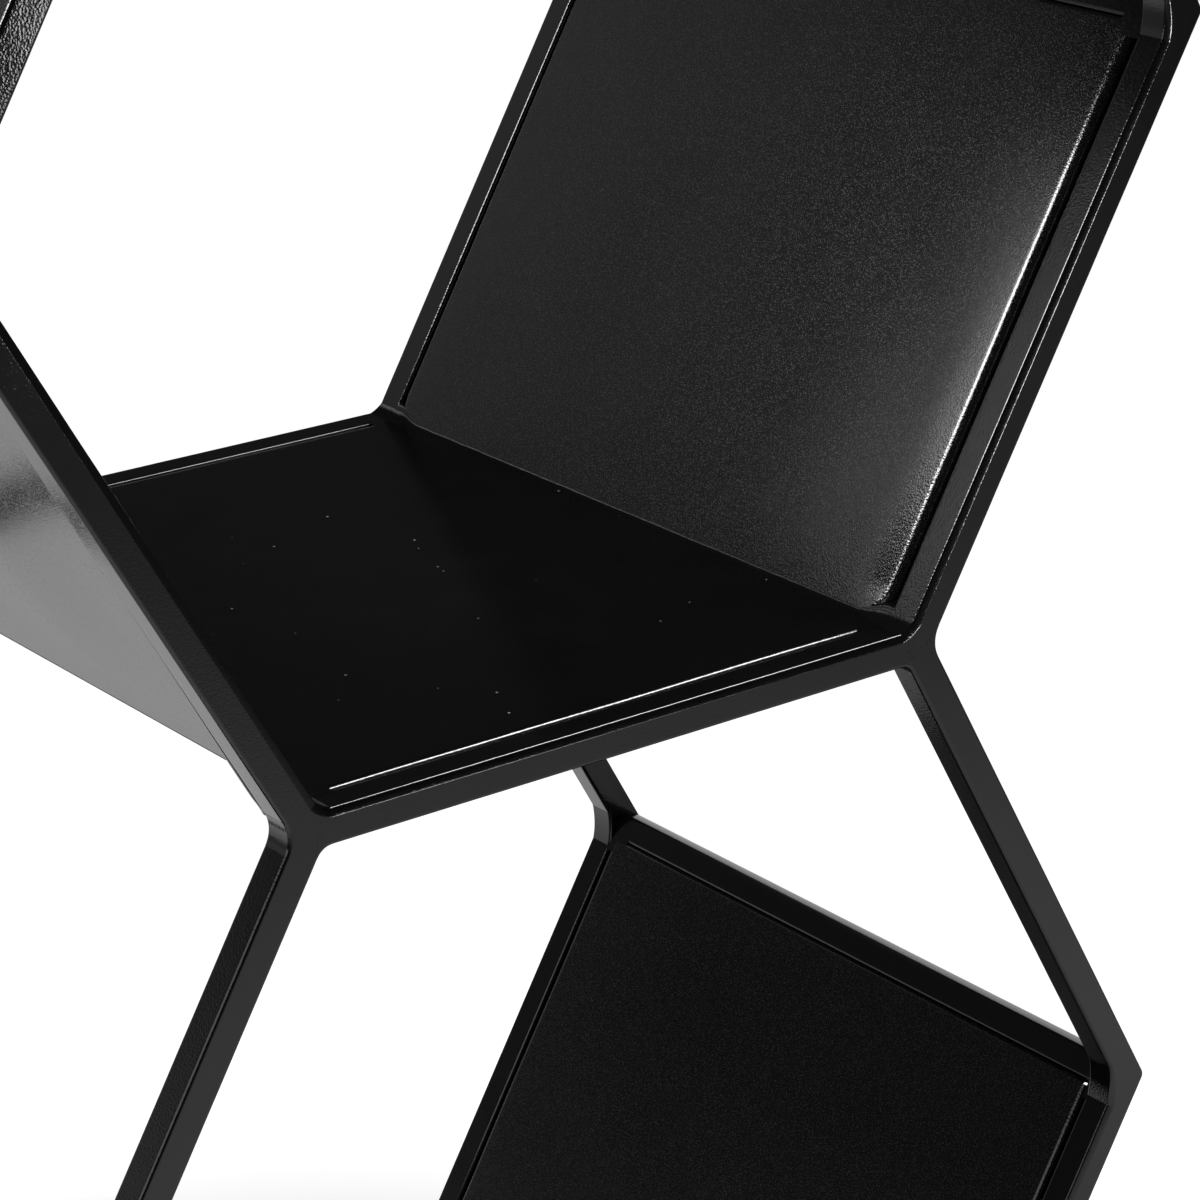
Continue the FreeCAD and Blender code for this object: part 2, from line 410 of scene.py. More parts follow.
def add_noise(tree, scale, detail):
    texture = add_texture(tree, "ShaderNodeTexNoise", scale)
    texture.inputs["Detail"].default_value = detail
    return texture.outputs["Fac"]


def add_ramp(tree, source, places, colours):
    ramp = tree.nodes.new("ShaderNodeValToRGB")
    for element, place, colour in zip(ramp.color_ramp.elements, places, colours):
        element.position = place
        element.color = (*colour, 1)
    tree.links.new(source, ramp.inputs["Fac"])
    return ramp.outputs["Color"]


def add_range(tree, source, low, high):
    node = tree.nodes.new("ShaderNodeMapRange")
    node.inputs["To Min"].default_value = low
    node.inputs["To Max"].default_value = high
    tree.links.new(source, node.inputs["Value"])
    return node.outputs["Result"]


def add_bump(tree, height, distance):
    bump = tree.nodes.new("ShaderNodeBump")
    bump.inputs["Distance"].default_value = distance
    tree.links.new(height, bump.inputs["Height"])
    return bump.outputs["Normal"]


def add_cover(tree, amount, base, colour):
    """The base colour with another one over it where the amount is high."""
    mix = tree.nodes.new("ShaderNodeMix")
    mix.data_type = "RGBA"
    mix.inputs["B"].default_value = (*colour, 1)
    tree.links.new(amount, mix.inputs["Factor"])
    tree.links.new(base, mix.inputs["A"])
    return mix.outputs["Result"]


def powder_coat(name, roughness, peel, fleck=0.0, dust=0.0):
    """Black powder coat with orange peel and uneven tone and gloss.

    Fleck is the grey of small metallic grains in the coat, and dust is how far each speck on it covers it.
    """
    material, tree, shader = new_material(name)
    tone = add_ramp(tree, add_noise(tree, *COAT_TONE_NOISE), TONE_STOPS, COAT_TONES)
    uneven = add_noise(tree, *GLOSS_NOISE)
    gloss = add_range(tree, uneven, roughness - GLOSS_SPREAD, roughness + GLOSS_SPREAD)
    if dust:
        cells = add_texture(tree, "ShaderNodeTexVoronoi", DUST_SCALE)
        speck = add_ramp(tree, cells.outputs["Distance"], DUST_SIZE_STOPS, (WHITE, BLACK))
        some = add_ramp(tree, cells.outputs["Color"], DUST_SHARE_STOPS, (BLACK, WHITE))
        amount = add_math(tree, "MULTIPLY", add_math(tree, "MULTIPLY", speck, some), dust)
        tone = add_cover(tree, amount, tone, DUST_COLOUR)
    if fleck:
        grains = add_ramp(tree, add_noise(tree, *FLECK_NOISE), FLECK_STOPS, (BLACK, WHITE))
        tone = add_cover(tree, grains, tone, (fleck, fleck, fleck))
        gloss = add_math(tree, "MULTIPLY_ADD", grains, FLECK_MATT, gloss)
        tree.links.new(grains, shader.inputs["Metallic"])
    tree.links.new(tone, shader.inputs["Base Color"])
    tree.links.new(gloss, shader.inputs["Roughness"])
    shader.inputs["IOR"].default_value = COAT_IOR
    tree.links.new(add_bump(tree, add_noise(tree, *PEEL_NOISE), peel), shader.inputs["Normal"])
    return material


def rubber(name):
    material, tree, shader = new_material(name)
    tone = add_ramp(tree, add_noise(tree, *RUBBER_TONE_NOISE), TONE_STOPS, RUBBER_TONES)
    tree.links.new(tone, shader.inputs["Base Color"])
    gloss = add_range(tree, add_noise(tree, *RUBBER_GLOSS_NOISE), *RUBBER_GLOSS)
    tree.links.new(gloss, shader.inputs["Roughness"])
    peel = add_bump(tree, add_noise(tree, *RUBBER_PEEL_NOISE), RUBBER_PEEL)
    tree.links.new(peel, shader.inputs["Normal"])
    return material


FRAME_COAT = powder_coat("frame_coat", roughness=0.12, peel=0.000042)
SHEET_COAT = powder_coat("sheet_coat", roughness=0.11, peel=0.00004, fleck=0.085)
FLOOR_COAT = powder_coat("shelf_coat", roughness=0.13, peel=0.000035, dust=0.8)
RUBBER = rubber("pad_rubber")


# Tubes

def edge_places(arcs):
    """The rounding between a side of a tube and its front, made of arcs.

    Each place is given by its distances from the side and from the front, with the outward direction there.
    """
    reach = sum(r * (math.sin(math.radians(b)) - math.sin(math.radians(a))) for a, b, r, _ in arcs)
    from_side, from_front = 0.0, reach
    places = [(from_side, from_front, Vector((1, 0)))]
    for first, last, radius, steps in arcs:
        for step in range(1, steps + 1):
            before = math.radians(first + (last - first) * (step - 1) / steps)
            angle = math.radians(first + (last - first) * step / steps)
            from_side += radius * (math.cos(before) - math.cos(angle))
            from_front -= radius * (math.sin(angle) - math.sin(before))
            places.append((from_side, from_front, Vector((math.cos(angle), math.sin(angle)))))
    return places


DRESSED = edge_places(DRESSED_ARCS)
PLAIN = edge_places(PLAIN_ARCS)
SIDE_EASE = DRESSED[0][1]
FRONT_EASE = DRESSED[-1][0]


def tube_outline(inner_front):
    """Places across a tube's axis and the outward direction at each, going round once.

    The edge between the inner side and the open face of the frame is the given one, the others are plain.
    """
    corners = []
    for side, front in ((1, 1), (-1, 1), (-1, -1), (1, -1)):
        edge = inner_front if side > 0 and front > 0 else PLAIN
        corner = []
        for a, b, out in edge:
            place = Vector((side * (HALF_TUBE - a), front * (HALF_TUBE - b)))
            corner.append((place, Vector((side * out.x, front * out.y))))
        if side != front:
            corner.reverse()
        corners.append(corner)
    outline = []
    for corner, following in zip(corners, corners[1:] + corners[:1]):
        start, out = corner[-1]
        outline += corner + [(start.lerp(following[0][0], k / FACE_PARTS), out) for k in range(1, FACE_PARTS)]
    return outline


DRESSED_TUBE = tube_outline(DRESSED)
PLAIN_TUBE = tube_outline(PLAIN)
CROSS_TUBE = tube_outline(edge_places(CROSS_ARCS))


def plane_cut(start, axis, point, direction):
    """How far along a bar a flat cut lies, by the place across the bar."""
    side = Vector((-axis.y, axis.x))

    def cut(across):
        gap = start + side * across - point
        return -cross(gap, direction) / cross(axis, direction)
    return cut


def tip_shift(across, sharp, centre):
    """Moves the outer corner of a mitre on to its rounding."""
    if centre is None or across >= 0:
        return Vector((0, 0))
    arm = sharp - centre
    if arm.length <= TIP_ROUND:
        return Vector((0, 0))
    weight = smooth((-across - TIP_START) / (HALF_TUBE - TIP_EASE))
    return (centre + arm.normalized() * TIP_ROUND - sharp) * weight


def bar_shell(outline, start, axis, depth, low_cut, high_cut, low_tip=None, high_tip=None):
    """A tube in the plane of a frame between two cuts. Its outer side is on the right of its axis."""
    side = Vector((-axis.y, axis.x))
    facing = math.copysign(1, -depth)
    inset = END_RINGS[-1]
    count = max(2, round((high_cut(0) - low_cut(0)) / RING_SPACING))
    stations = [("low", s) for s in END_RINGS] + [("mid", k / count) for k in range(1, count)]
    stations += [("high", s) for s in reversed(END_RINGS)]
    tips = {"low": low_tip, "mid": None, "high": high_tip}

    def along(kind, value, across):
        low, high = low_cut(across), high_cut(across)
        if kind == "low":
            return low + value
        if kind == "high":
            return high - value
        return low + inset + (high - low - 2 * inset) * value

    shell = Shell()
    rings = []
    for kind, value in stations:
        tip = tips[kind] if value < TIP_ROUND * HALF_TURN + TIP_MARGIN else None
        sharp = start + axis * along(kind, value, -HALF_TUBE) - side * HALF_TUBE
        points = []
        for (across, ahead), (out_across, out_ahead) in outline:
            flat = start + axis * along(kind, value, across) + side * across
            flat = flat + tip_shift(across, sharp, tip)
            place = Vector((flat.x, depth - facing * ahead, flat.y))
            out = Vector((side.x * out_across, -facing * out_ahead, side.y * out_across))
            points.append(place - out * (FRAME_WAVER * waver(place, FRAME_WAVE)))
        rings.append(shell.ring(points))
    shell.loft(rings)
    for ring, cut in ((rings[0], low_cut), (rings[-1], high_cut)):
        middle = start + axis * cut(0)
        shell.fan(ring, (middle.x, depth, middle.y))
    return shell


def sloped_bar(tier, upper, depth):
    """A right-hand sloped bar: the lower one goes out from its shelf, the upper one comes back in."""
    vertex = vertex_point(tier)
    to_tip = (HALF_TUBE - TIP_ROUND) / SIN
    vertex_tip = vertex + OUTWARD * to_tip
    if upper:
        start, axis, node = vertex, UP_IN, node_point(tier + 1)
        last = tier == TIERS - 1
        low_cut, low_tip = plane_cut(start, axis, vertex, OUTWARD), vertex_tip
        high_cut = plane_cut(start, axis, node, UP_OUT if last else OUTWARD)
        high_tip = node + UP_OUT * to_tip if last else None
        return bar_shell(PLAIN_TUBE, start, axis, depth, low_cut, high_cut, low_tip, high_tip)
    start, axis, node = node_point(tier), UP_OUT, node_point(tier)
    first = tier == 0
    low_cut = plane_cut(start, axis, node, UP_IN if first else OUTWARD)
    low_tip = node - UP_IN * to_tip if first else None
    high_cut, high_tip = plane_cut(start, axis, vertex, OUTWARD), vertex_tip
    return bar_shell(DRESSED_TUBE, start, axis, depth, low_cut, high_cut, low_tip, high_tip)


def shelf_bar(level, depth):
    """A bar along a shelf. Between two tiers its ends run on over the rounding of the sloped bars."""
    node = node_point(level)
    start = Vector((0, node.y))
    if 0 < level < TIERS:
        length = HALF_SHELF - HALF_TUBE / SIN + FRONT_EASE / SIN

        def high_cut(across):
            return length + abs(across) * COS / SIN

        def low_cut(across):
            return -high_cut(across)
        return bar_shell(DRESSED_TUBE, start, OUTWARD, depth, low_cut, high_cut)
    lowest = level == 0
    slope = UP_IN if lowest else UP_OUT
    axis = OUTWARD if lowest else INWARD
    tip = node + slope * ((-1 if lowest else 1) * (HALF_TUBE - TIP_ROUND) / SIN)
    far_tip = Vector((-tip.x, tip.y))
    cut = plane_cut(start, axis, node, slope)
    far_cut = plane_cut(start, axis, Vector((-node.x, node.y)), Vector((-slope.x, slope.y)))
    if lowest:
        return bar_shell(DRESSED_TUBE, start, axis, depth, far_cut, cut, far_tip, tip)
    return bar_shell(PLAIN_TUBE, start, axis, depth, cut, far_cut, tip, far_tip)


def cross_bar(tier):
    """A right-hand tube from frame to frame. Its ends run on over the rounding of the sloped bars."""
    centre = vertex_point(tier) - UP_OUT * CROSS_DROP
    half = SHEET_HALF + SIDE_EASE
    count = round(2 * half / RING_SPACING)
    shell = Shell()
    rings = []
    for step in range(count + 1):
        depth = -half + 2 * half * step / count
        points = []
        for (a, b), (out_a, out_b) in CROSS_TUBE:
            flat = centre + OFF_SLOPE * a + UP_OUT * b
            out = OFF_SLOPE * out_a + UP_OUT * out_b
            place = Vector((flat.x, depth, flat.y))
            points.append(place - Vector((out.x, 0, out.y)) * (FRAME_WAVER * waver(place, FRAME_WAVE)))
        rings.append(shell.ring(points))
    shell.loft(rings)
    shell.fan(rings[0], (centre.x, -half, centre.y))
    shell.fan(rings[-1], (centre.x, half, centre.y))
    return shell


# Welds

class Hollow:
    """A round hollow between two directions that leave a corner."""

    def __init__(self, corner, first, second):
        self.corner = corner
        self.half = math.acos(first.dot(second)) / 2
        self.bisector = (first + second).normalized()
        self.side = (first - self.bisector * first.dot(self.bisector)).normalized()
        self.sweep = math.pi / 2 - self.half

    def inward(self, distance):
        """The place on the bisector whose distance from both directions is the given one."""
        return self.corner + self.bisector * (distance / math.sin(self.half))

    def turn(self, step, steps):
        return self.sweep * (1 - 2 * step / steps)

    def toward(self, angle):
        return self.side * math.sin(angle) - self.bisector * math.cos(angle)

    def sagitta(self, radius, angle):
        """How far the hollow is below its own chord."""
        return self.bisector * (radius * (math.cos(angle) - math.cos(self.sweep)))

    def fade(self, angle):
        """One in the middle of the hollow, going to nothing at its two ends."""
        return math.cos(angle / self.sweep * math.pi / 2)


def weld_profile(edge):
    """Places across a weld: how far behind its hollow and how far before the middle of the frame."""
    front = [(a, HALF_TUBE - b) for a, b, _ in reversed(edge)]
    back = [(a, b - HALF_TUBE) for a, b, _ in PLAIN]
    return front + back


def corner_weld(corner, first, second, radius, depth, first_edge=PLAIN, second_edge=PLAIN, flat_share=0.0):
    """A weld ground hollow in a corner of a frame, flush with its front and back.

    Its edge goes over from that of the first bar to that of the second. The hollow is ground flat by the
    given share, from round to straight.
    """
    facing = math.copysign(1, -depth)
    hollow = Hollow(corner, first, second)
    centre, inside = hollow.inward(radius), hollow.inward(-FRONT_EASE)
    profiles = list(zip(weld_profile(first_edge), weld_profile(second_edge)))
    shell = Shell()
    hubs = shell.ring([(inside.x, depth - facing * s * HALF_TUBE, inside.y) for s in (1, -1)])
    rings = []
    for step in range(WELD_STEPS + 1):
        angle = hollow.turn(step, WELD_STEPS)
        toward = hollow.toward(angle)
        share = smooth(step / WELD_STEPS)
        points = []
        for one, two in profiles:
            into, ahead = blend(one[0], two[0], share), blend(one[1], two[1], share)
            flat = centre + toward * (radius + into) + hollow.sagitta(radius, angle) * flat_share
            place = Vector((flat.x, depth - facing * ahead, flat.y))
            bulge = WELD_BULGE * waver(place, WELD_WAVE, WELD_SEED) * hollow.fade(angle)
            bulge *= 1 - into / FRONT_EASE
            points.append(place - Vector((toward.x, 0, toward.y)) * bulge)
        rings.append(shell.ring(points))
    for one, two in zip(rings, rings[1:]):
        shell.bridge(one, two, closed=False)
        shell.faces.append((one[0], two[0], hubs[0]))
        shell.faces.append((two[-1], one[-1], hubs[1]))
    for ring in (rings[0], rings[-1]):
        shell.faces.append(tuple(ring))
        shell.faces.append((ring[0], hubs[0], hubs[1], ring[-1]))
    return shell


def frame_welds(depth):
    """All ground welds of one frame."""
    right = Shell()
    for level in range(TIERS + 1):
        centre = node_point(level)
        if level < TIERS:
            above = seam_point(level)
            right.join(corner_weld(above, INWARD, UP_OUT, INNER_FILLET, depth, DRESSED, DRESSED, GROUND_FLAT))
        if level > 0:
            below = Vector((CORNER_X, centre.y - HALF_TUBE))
            right.join(corner_weld(below, INWARD, DOWN_OUT, INNER_FILLET, depth))
        if 0 < level < TIERS:
            outside = centre + OUTWARD * (HALF_TUBE / SIN)
            right.join(corner_weld(outside, UP_OUT, DOWN_OUT, OUTER_FILLET, depth))
    for tier in range(TIERS):
        inside = vertex_point(tier) - OUTWARD * (HALF_TUBE / SIN)
        right.join(corner_weld(inside, -UP_OUT, UP_IN, VERTEX_FILLET, depth, DRESSED, PLAIN, GROUND_FLAT))
    right.join(right.mirrored())
    return right


def seam_bead(tier):
    """The weld along a right-hand seam, hollow on its upper side and a little uneven."""
    hollow = Hollow(seam_point(tier), INWARD, UP_OUT)
    centre = hollow.inward(SEAM_RADIUS)
    through = DOWN_OUT * (SHEET / SIN)
    reach = SHEET_HALF - SEAM_SHORT
    shell = Shell()
    rings = []
    for k in range(SEAM_RINGS + 1):
        y = -reach + 2 * reach * k / SEAM_RINGS
        upper = []
        for step in range(SEAM_STEPS + 1):
            angle = hollow.turn(step, SEAM_STEPS)
            flat = centre + hollow.toward(angle) * SEAM_RADIUS
            bulge = SEAM_BULGE * waver((flat.x, y, flat.y), SEAM_WAVE, tier) * hollow.fade(angle)
            upper.append(flat + hollow.bisector * bulge)
        places = upper + [upper[-1] + through, upper[0] + through]
        rings.append(shell.ring([(p.x, y, p.y) for p in places]))
    shell.loft(rings)
    shell.cap(rings)
    return shell


def plug_surface(tier, share):
    """The line over the top of a seam plug, from its full size at the frame to the bead's at its far end."""
    corner = seam_point(tier)
    hollow = Hollow(corner, INWARD, UP_OUT)
    radius = blend(INNER_FILLET, SEAM_RADIUS, share)
    floor_leg, side_leg = blend(*PLUG_FLOOR_LEG, share), blend(*PLUG_SIDE_LEG, share)
    reach = radius * HALF_TURN
    centre = hollow.inward(radius)
    places = [corner + INWARD * blend(floor_leg, reach, k / PLUG_FLOOR_STEPS) + UPWARD * PLUG_PROUD
              for k in range(PLUG_FLOOR_STEPS)]
    for step in range(PLUG_HOLLOW_STEPS + 1):
        angle = hollow.turn(step, PLUG_HOLLOW_STEPS)
        ground = hollow.sagitta(radius, angle) * GROUND_FLAT
        places.append(centre + hollow.toward(angle) * (radius - PLUG_PROUD) + ground)
    places += [corner + UP_OUT * blend(reach, side_leg, k / PLUG_SIDE_STEPS) + OFF_SLOPE * PLUG_PROUD
               for k in range(1, PLUG_SIDE_STEPS + 1)]
    for turn in PLUG_DROP_TURNS:
        run, drop = side_leg + PLUG_DROP * math.sin(turn), PLUG_DROP * (1 - math.cos(turn))
        places.append(corner + UP_OUT * run - OFF_SLOPE * drop)
    return places


def seam_plug(tier, sign):
    """Weld metal that fills the front or back end of a right-hand seam, smooth with floor and side."""
    start, stop = SHEET_HALF + SIDE_EASE, SHEET_HALF - PLUG_LENGTH
    shell = Shell()
    rings = []
    for k in range(PLUG_RINGS + 1):
        y = sign * blend(start, stop, k / PLUG_RINGS)
        upper = plug_surface(tier, smooth((k - PLUG_STRAIGHT) / (PLUG_RINGS - PLUG_STRAIGHT)))
        points = []
        for p in upper:
            sink = PLUG_SINK * waver((p.x, y, p.y), PLUG_WAVE, PLUG_SEED + tier)
            points.append((p.x + PLUG_LEAN * sink, y, p.y - sink))
        points += [(p.x, y, p.y - PLUG_THICK) for p in reversed(upper)]
        rings.append(shell.ring(points))
    shell.loft(rings)
    shell.cap(rings)
    return shell


def vertex_plug(tier, sign, reach):
    """Weld metal ground flush in the corner between a right-hand sheet, its cross bar and a frame."""
    origin = seam_point(tier)
    first, last = SIDE_END - POINT_RUN, SIDE_END + SIDE_EASE
    start, stop = SHEET_HALF + SIDE_EASE, SHEET_HALF - reach
    tops, bases = [], []
    for i in range(POINT_CELLS + 1):
        for j in range(POINT_CELLS + 1):
            u = blend(first, last, i / POINT_CELLS)
            y = sign * blend(start, stop, j / POINT_CELLS)
            flat = origin + UP_OUT * u
            sink = POINT_SINK + POINT_WAVER * waver((u, y, 0), POINT_WAVE, POINT_SEED + tier)
            top, base = flat - OFF_SLOPE * sink, flat - OFF_SLOPE * POINT_THICK
            tops.append((top.x, y, top.y))
            bases.append((base.x, y, base.y))
    shell = Shell()
    upper, lower = shell.ring(tops), shell.ring(bases)
    row = POINT_CELLS + 1
    for i in range(POINT_CELLS):
        for j in range(POINT_CELLS):
            cell = (i * row + j, (i + 1) * row + j, (i + 1) * row + j + 1, i * row + j + 1)
            shell.faces.append(tuple(upper[k] for k in cell))
            shell.faces.append(tuple(lower[k] for k in reversed(cell)))
    there, back = range(POINT_CELLS), range(POINT_CELLS, 0, -1)
    rim = [i * row for i in there] + [POINT_CELLS * row + j for j in there]
    rim += [i * row + POINT_CELLS for i in back] + list(back)
    shell.bridge([lower[k] for k in rim], [upper[k] for k in rim])
    return shell


# Folded sheets

class Fold:
    """One way across a sheet, unrolled: flat in the middle, with a bend and a lip at an end where asked."""

    def __init__(self, low, high, low_bend, high_bend, spacing, low_lip=SHEET_LIP):
        self.low, self.high = low, high
        self.flat_low, self.flat_high = low + low_bend, high - high_bend
        flat = self.flat_high - self.flat_low
        count = max(2, round(flat / spacing))
        self.stations = []
        if low_bend:
            self.stations += [("low",) + s for s in reversed(self.lip(low_bend, low_lip))]
        self.stations += [("flat", self.flat_low + flat * k / count, 0.0) for k in range(count + 1)]
        if high_bend:
            self.stations += [("high",) + s for s in self.lip(high_bend, SHEET_LIP)]

    @staticmethod
    def lip(bend, depth):
        """Distances outwards from the flat and drops below it, round the bend and down the lip."""
        turns = [math.pi / 2 * k / BEND_STEPS for k in range(1, BEND_STEPS + 1)]
        round_part = [(bend * math.sin(t), bend * (1 - math.cos(t))) for t in turns]
        return round_part + [(bend, blend(bend, depth, k / LIP_STEPS)) for k in range(1, LIP_STEPS + 1)]

    def place(self, station):
        kind, value, drop = station
        if kind == "low":
            return self.flat_low - value, drop
        if kind == "high":
            return self.flat_high + value, drop
        return value, drop

    def share(self, value):
        return clamp((value - self.flat_low) / (self.flat_high - self.flat_low))


def folded_sheet(origin, along, up, across, depth, crown, seed, mitred=False, clear=0.0, curl=0.0, roll=0.0):
    """A folded sheet. Its upper face lies in the plane through origin along one direction and the depth.

    The lips of a mitred sheet are cut to the mitre of the seams at its two ends. Other lips end square and
    stop short of the low end by clear. Near that end the folds curl away from the frame, by curl at the end
    itself. The middle rises by crown, and roll is how far the front edge sinks.
    """
    shell = Shell()
    grid = {}
    for i, a in enumerate(across.stations):
        for j, d in enumerate(depth.stations):
            if a[0] != "flat" and d[0] != "flat":
                continue
            u, drop_u = across.place(a)
            y, drop_y = depth.place(d)
            if mitred:
                u -= drop_y * HALF_TURN * max(0.0, 1 - (u - across.low) / MITRE_LENGTH)
                u += drop_y * HALF_TURN * max(0.0, 1 - (across.high - u) / MITRE_LENGTH)
            s, t = across.share(u), depth.share(y)
            inner = smooth(min(s, 1 - s, t, 1 - t) / WAVER_SHARE)
            rise = crown * (1 - (2 * s - 1) ** CROWN_POWER) * (1 - (2 * t - 1) ** CROWN_POWER)
            rise += SHEET_WAVER * (waver((u, y, 0), SHEET_WAVE, seed) - 0.5) * inner
            ends = smooth((u - across.low) / ROLL_FIRST) * smooth((across.high - u) / ROLL_LAST)
            ends *= ROLL_GAIN * max(0.0, 1 - s / ROLL_SHARE)
            rise -= roll * ends * clamp(1 - (y - depth.flat_low) / ROLL_WIDTH) ** 2
            edge = EDGE_WAVER * waver((u, y, 0), EDGE_WAVE, seed + EDGE_SEED)
            edge += curl * max(0.0, 1 - (u - across.low) / CURL_LENGTH) ** 2
            if d[0] == "low":
                y += edge
            elif d[0] == "high":
                y -= edge
            else:
                y += edge * (1 - smooth((y - depth.flat_low) / EDGE_BLEND))
                y -= edge * (1 - smooth((depth.flat_high - y) / EDGE_BLEND))
            flat = origin + along * u + up * (rise - drop_u - drop_y)
            (grid[i, j],) = shell.ring([(flat.x, y, flat.y)])
    for i, (one, two) in enumerate(zip(across.stations, across.stations[1:])):
        short = (across.place(one)[0] + across.place(two)[0]) / 2 < across.low + clear
        for j in range(len(depth.stations) - 1):
            keys = ((i, j), (i + 1, j), (i + 1, j + 1), (i, j + 1))
            folded = any(depth.stations[k][0] != "flat" for k in (j, j + 1))
            if all(k in grid for k in keys) and not (folded and short):
                shell.faces.append(tuple(grid[k] for k in keys))
    used = sorted({i for f in shell.faces for i in f})
    order = {old: new for new, old in enumerate(used)}
    shell.points = [shell.points[i] for i in used]
    shell.faces = [tuple(order[i] for i in f) for f in shell.faces]
    return shell


def depth_fold():
    """The way from front to back across a level sheet."""
    half = SHEET_HALF - SHEET_CLEAR
    return Fold(-half, half, SHEET_BEND, SHEET_BEND, SHEET_SPACING)


def floor_sheet(tier):
    half = CORNER_X - SEAM_GAP
    across = Fold(-half, half, 0, 0, SHEET_SPACING)
    origin = Vector((0, seam_point(tier).y))
    seed = FLOOR_SEED + tier
    return folded_sheet(origin, OUTWARD, UPWARD, across, depth_fold(), FLOOR_CROWN, seed, mitred=True)


def top_sheet():
    across = Fold(-CORNER_X, CORNER_X, SHEET_BEND, SHEET_BEND, SHEET_SPACING)
    origin = Vector((0, seam_point(TIERS).y))
    return folded_sheet(origin, OUTWARD, UPWARD, across, depth_fold(), TOP_CROWN, TOP_SEED)


def side_sheet(tier, seed, edge):
    """A right-hand side sheet with the given front edge."""
    across = Fold(SEAM_GAP, SIDE_END, 0, CROSS_BEND, SIDE_SPACING)
    front, back = -SHEET_HALF + edge.gap, SHEET_HALF - SHEET_CLEAR
    depth = Fold(front, back, edge.bend, SHEET_BEND, SIDE_DEPTH_SPACING, edge.lip)
    return folded_sheet(seam_point(tier), UP_OUT, OFF_SLOPE, across, depth, SIDE_CROWN, seed + tier,
                        clear=edge.clear, curl=edge.curl, roll=ROLL_DEPTH)


# Floor pads

def floor_pad(x, y):
    """A round rubber pad with eased edges, turned about its own axis."""
    turns = [2 * math.pi * k / PAD_SIDES for k in range(PAD_SIDES)]
    shell = Shell()
    rings = []
    for inset, z in PAD_OUTLINE:
        radius = PAD_RADIUS - inset
        rings.append(shell.ring([(x + radius * math.cos(a), y + radius * math.sin(a), z) for a in turns]))
    shell.loft(rings)
    shell.fan(rings[0], (x, y, 0))
    shell.fan(rings[-1], (x, y, PAD_HEIGHT))
    return shell


# The part

def make_bar(node, shell):
    make_piece(node, shell, FRAME_COAT)


def make_sheet(node, sheet, coat):
    make_piece(node, thicken(sheet, SHEET), coat)


def build_part():
    for tier in range(TIERS):
        name = "tier%d" % (tier + 1)
        for face, depth in FRAMES:
            make_bar(f"{name}_{face}_shelf_bar", shelf_bar(tier, depth))
            for upper, word in ((False, "lower"), (True, "upper")):
                shell = sloped_bar(tier, upper, depth)
                make_bar(f"{name}_{face}_right_{word}_bar", shell)
                make_bar(f"{name}_{face}_left_{word}_bar", shell.mirrored())
        shell = cross_bar(tier)
        make_bar(f"{name}_right_cross_bar", shell)
        make_bar(f"{name}_left_cross_bar", shell.mirrored())
        make_sheet(f"{name}_floor_sheet", floor_sheet(tier), FLOOR_COAT)
        right = side_sheet(tier, RIGHT_SEED, WIDE_EDGE if tier == WIDE_TIER else RIGHT_EDGE)
        left = side_sheet(tier, LEFT_SEED, LEFT_EDGE).mirrored()
        make_sheet(f"{name}_right_sheet", right, SHEET_COAT)
        make_sheet(f"{name}_left_sheet", left, SHEET_COAT)
    for face, depth in FRAMES:
        make_bar(f"top_{face}_shelf_bar", shelf_bar(TIERS, depth))
        make_bar(f"{face}_frame_welds", frame_welds(depth))
    make_sheet("top_sheet", top_sheet(), FLOOR_COAT)
    beads = Shell()
    for tier in range(TIERS):
        bead = seam_bead(tier)
        beads.join(bead)
        beads.join(bead.mirrored())
        for sign in (-1, 1):
            plug = seam_plug(tier, sign)
            beads.join(plug)
            beads.join(plug.mirrored())
            notched = tier == 0 and sign < 0
            beads.join(vertex_plug(tier, sign, POINT_REACH).mirrored())
            beads.join(vertex_plug(tier, sign, NOTCH_REACH if notched else POINT_REACH))
    make_bar("seam_welds", beads)
    pads = Shell()
    for x in (PAD_INSET - HALF_SHELF, HALF_SHELF - PAD_INSET):
        for _, depth in FRAMES:
            pads.join(floor_pad(x, depth))
    make_piece("floor_pads", pads, RUBBER)


# Stage

def soft_step(tree, source, step):
    """A smooth change between two values, by where the step starts and ends."""
    node = tree.nodes.new("ShaderNodeMapRange")
    node.interpolation_type = "SMOOTHSTEP"
    for name, value in zip(("From Min", "From Max", "To Min", "To Max"), step):
        node.inputs[name].default_value = value
    tree.links.new(source, node.inputs["Value"])
    return node.outputs["Result"]


def split_axes(tree, source):
    axes = tree.nodes.new("ShaderNodeSeparateXYZ")
    tree.links.new(source, axes.inputs[0])
    return axes.outputs


def compare(tree, operation, source, vector):
    """The distance of a vector from another one, or their dot product."""
    node = tree.nodes.new("ShaderNodeVectorMath")
    node.operation = operation
    node.inputs[1].default_value = vector
    tree.links.new(source, node.inputs[0])
    return node.outputs["Value"]


def seen_directly(tree):
    """One where the camera sees the surface, also through glass, and the light path node."""
    path = tree.nodes.new("ShaderNodeLightPath")
    return add_math(tree, "MAXIMUM", path.outputs["Is Camera Ray"], path.outputs["Is Transmission Ray"]), path


